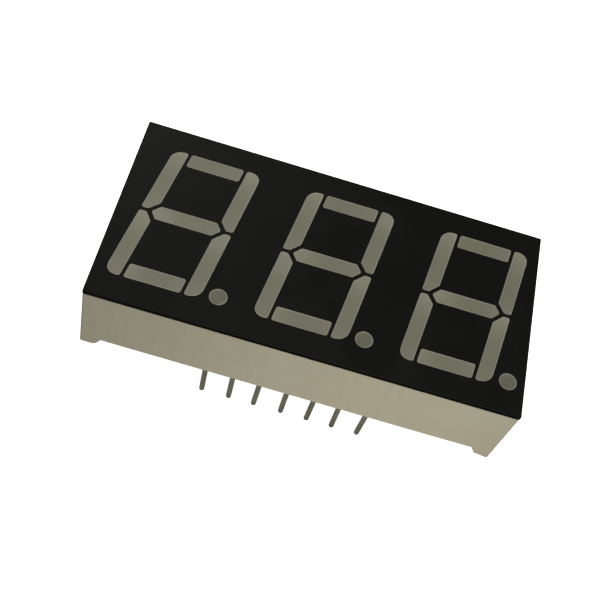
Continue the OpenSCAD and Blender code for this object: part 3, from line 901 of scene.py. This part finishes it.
grown(
    "resin_bubbles", fizz, "back_resin", Bubbles=26, Low_corner=resin_low + margin,
    High_corner=Vector((resin_high.x, resin_high.y, board_back)) - margin, Radius=0.11 * MM, Seed=3,
    Finish=bubble,
)

# %% [markdown]
# The display stands on its legs on a plain pale table. The floor glows, as a lit white sweep does, so it
# looks almost white, but what it throws on the display is dimmer. It casts no shadow, and from below it can
# be seen through, so that the underside can be looked at.

# %% Floor
floor_mesh = bpy.data.meshes.new("floor")
HALF_FLOOR = 0.6
leg_tips = frame_box[0][2]
floor_mesh.from_pydata(
    [(x * HALF_FLOOR, y * HALF_FLOOR, leg_tips) for x, y in ((-1, -1), (1, -1), (1, 1), (-1, 1))],
    [], [(0, 1, 2, 3)],
)
floor = bpy.data.objects.new("floor", floor_mesh)
bpy.context.scene.collection.objects.link(floor)
GLOW_SEEN, GLOW_THROWN = 0.9, 0.15
floor_paint, tree, shader, _ = finish("floor_paint", specular=0.0)
shader.inputs["Base Color"].default_value = rgb(0.9, 0.9, 0.9)
shader.inputs["Roughness"].default_value = 0.9
shader.inputs["Emission Color"].default_value = rgb(1.0, 1.0, 1.0)
shader.inputs["Emission Strength"].default_value = GLOW_SEEN
paint = put(tree, "ShaderNodeBsdfDiffuse", {"Color": rgb(0.16, 0.1575, 0.145)})
glow = put(tree, "ShaderNodeEmission", {"Color": rgb(1.0, 0.985, 0.91), "Strength": GLOW_THROWN})
dim = put(tree, "ShaderNodeAddShader", {0: paint.outputs[0], 1: glow.outputs[0]})
seen_directly = put(tree, "ShaderNodeLightPath").outputs["Is Camera Ray"]
as_seen = put(tree, "ShaderNodeMixShader", {0: seen_directly, 1: dim.outputs[0], 2: shader.outputs[0]})
clear = put(tree, "ShaderNodeBsdfTransparent")
lets_by = calc(
    tree, "MAXIMUM", put(tree, "ShaderNodeNewGeometry").outputs["Backfacing"],
    put(tree, "ShaderNodeLightPath").outputs["Is Shadow Ray"],
)
from_below = put(tree, "ShaderNodeMixShader", {0: lets_by, 1: as_seen.outputs[0], 2: clear.outputs[0]})
tree.links.new(from_below.outputs[0], next(n for n in tree.nodes if n.type == "OUTPUT_MATERIAL").inputs[0])
floor_mesh.materials.append(floor_paint)
print("floor", 2 * HALF_FLOOR, "m wide, at", round(leg_tips / MM, 2), "mm")

# %% [markdown]
# Soft light comes from a big panel overhead, and a sheen on the face from one behind on the left. A small
# panel stands low in front, close to the long side and right of its middle, so that side is lit most there.
# A fourth shines up through the table on the underside. The near one is too close to look soft in a mirror,
# so shiny surfaces don't show it. The room is kept dim, because the black face mirrors it, but the camera
# sees it white.

# %% Light
scene = bpy.context.scene
scene.view_settings.view_transform = "Standard"
room = bpy.data.worlds.new("room")
scene.world = room
room.use_nodes = True
tree = room.node_tree
tree.nodes.clear()
seen = put(tree, "ShaderNodeBackground", {"Color": rgb(1.0, 1.0, 1.0), "Strength": 1.0})
cast = put(tree, "ShaderNodeBackground", {"Color": rgb(1.0, 0.995, 0.96), "Strength": 0.16})
which = put(
    tree, "ShaderNodeMixShader",
    {0: put(tree, "ShaderNodeLightPath").outputs["Is Camera Ray"], 1: cast.outputs[0], 2: seen.outputs[0]},
)
put(tree, "ShaderNodeOutputWorld", {"Surface": which.outputs[0]})


def panel(name, place, aim, size, power, tint, mirrored=True):
    """A square soft light that faces a point, and that shiny surfaces mirror or not."""
    lamp = bpy.data.lights.new(name, "AREA")
    lamp.shape, lamp.size, lamp.energy, lamp.color = "SQUARE", size, power, tint
    made = bpy.data.objects.new(name, lamp)
    made.location = place
    made.rotation_mode = "QUATERNION"
    made.rotation_quaternion = (Vector(aim) - Vector(place)).to_track_quat("-Z", "Y")
    made.visible_glossy = mirrored
    scene.collection.objects.link(made)


panel("overhead", (0.06, -0.05, 0.42), (0, 0, 0), 0.28, 1.33, (1.0, 1.0, 0.985))
panel(
    "front_side", (0.011, -0.05, 0.004), (0.011, 0, 0.004), 0.02, 0.0093, (1.0, 0.975, 0.94), mirrored=False,
)
panel("left_back", (-0.13, 0.33, 0.31), (0, 0, 0), 0.18, 0.62, (1.0, 1.0, 0.9))
panel("underneath", (-0.06, 0.14, -0.26), (0, 0, 0), 0.2, 0.5, (1.0, 0.99, 0.97))

# %% [markdown]
# The camera looks down on the face from the front, close enough for strong perspective, and is held
# tilted, so the display runs downhill from left to right.

# %% Camera
eye = Vector((-5.895, -51.230, 81.724)) * MM
looks_at = Vector((-1.480, -4.460, 8.2)) * MM
HELD_TILTED = math.radians(20.907)
lens = bpy.data.cameras.new("camera")
lens.sensor_width, lens.lens = 36.0, 61.95
lens.clip_start, lens.clip_end = 0.002, 20.0
camera = bpy.data.objects.new("camera", lens)
camera.location = eye
camera.rotation_mode = "QUATERNION"
view = (looks_at - eye).to_track_quat("-Z", "Y")
tilt = Quaternion((0, 0, 1), HELD_TILTED)
camera.rotation_quaternion = view @ tilt
scene.collection.objects.link(camera)
scene.camera = camera
print("camera", round((looks_at - eye).length / MM, 1), "mm from what it looks at")
